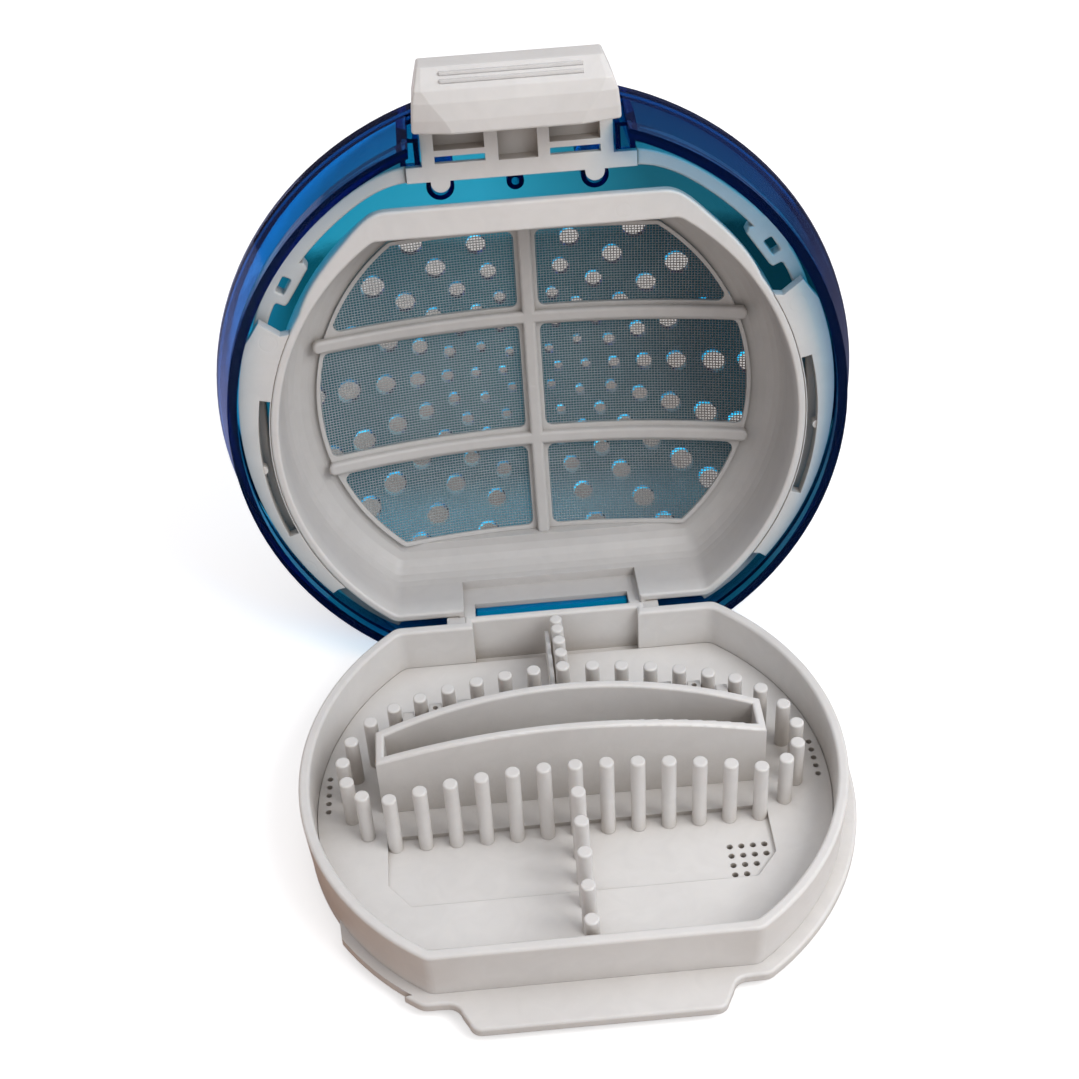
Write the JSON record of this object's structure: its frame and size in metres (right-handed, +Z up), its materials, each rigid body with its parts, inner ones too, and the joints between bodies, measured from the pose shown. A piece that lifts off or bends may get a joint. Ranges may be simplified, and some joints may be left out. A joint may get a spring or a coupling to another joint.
{
  "type": "washing machine lint filter cartridge",
  "caption": "Hinged lint filter cartridge shown open: a comb tray with an inlet duct, and a clear blue perforated cover with a framed mesh screen and a sprung press latch.",
  "frame": {"origin": "on the resting plane, under the centre of the tray's rim circle", "axes": "+Z up from the resting plane, +Y from the tray towards the hinge and the raised cover, +X to the right with the tray nearest the viewer"},
  "size_m": [0.1548, 0.1714, 0.1495],
  "materials": {
    "white_plastic": "fine satin moulded ABS, very light warm grey",
    "clear_blue_plastic": "polished see-through blue polycarbonate",
    "woven_screen": "fine plain-woven monofilament screen"
  },
  "bodies": {
    "root": {"base_flange": "white_plastic", "rim_wall": "white_plastic", "comb_plate": "white_plastic", "comb_pins_front": "white_plastic", "comb_pins_rear": "white_plastic", "comb_pins_centre": "white_plastic", "inlet_duct": "white_plastic", "centre_rib": "white_plastic", "hinge_brackets": "white_plastic", "hinge_pins": "white_plastic"},
    "cover": {"outer_cover": "clear_blue_plastic", "mesh_frame": "white_plastic", "side_wings": "white_plastic", "hinge_legs": "white_plastic", "filter_mesh": "woven_screen", "frame_ribs": "white_plastic", "spring_arm_left": "white_plastic", "spring_arm_right": "white_plastic"},
    "latch": {"latch_yoke": "white_plastic", "latch_cap": "white_plastic", "latch_grips": "white_plastic"}
  },
  "joints": [
    {"name": "cover_hinge", "type": "hinge", "parent": "root", "child": "cover", "pos_m": [0, 0.05645, 0.00272], "axis": [1, 0, 0], "range_deg": [0, 99.5]},
    {"name": "latch_press", "type": "slide", "parent": "cover", "child": "latch", "axis": [0, -0.1661, -0.9861], "range_m": [0, 0.003], "stiffness_N_per_m": 1500, "springref_m": -0.001}
  ]
}
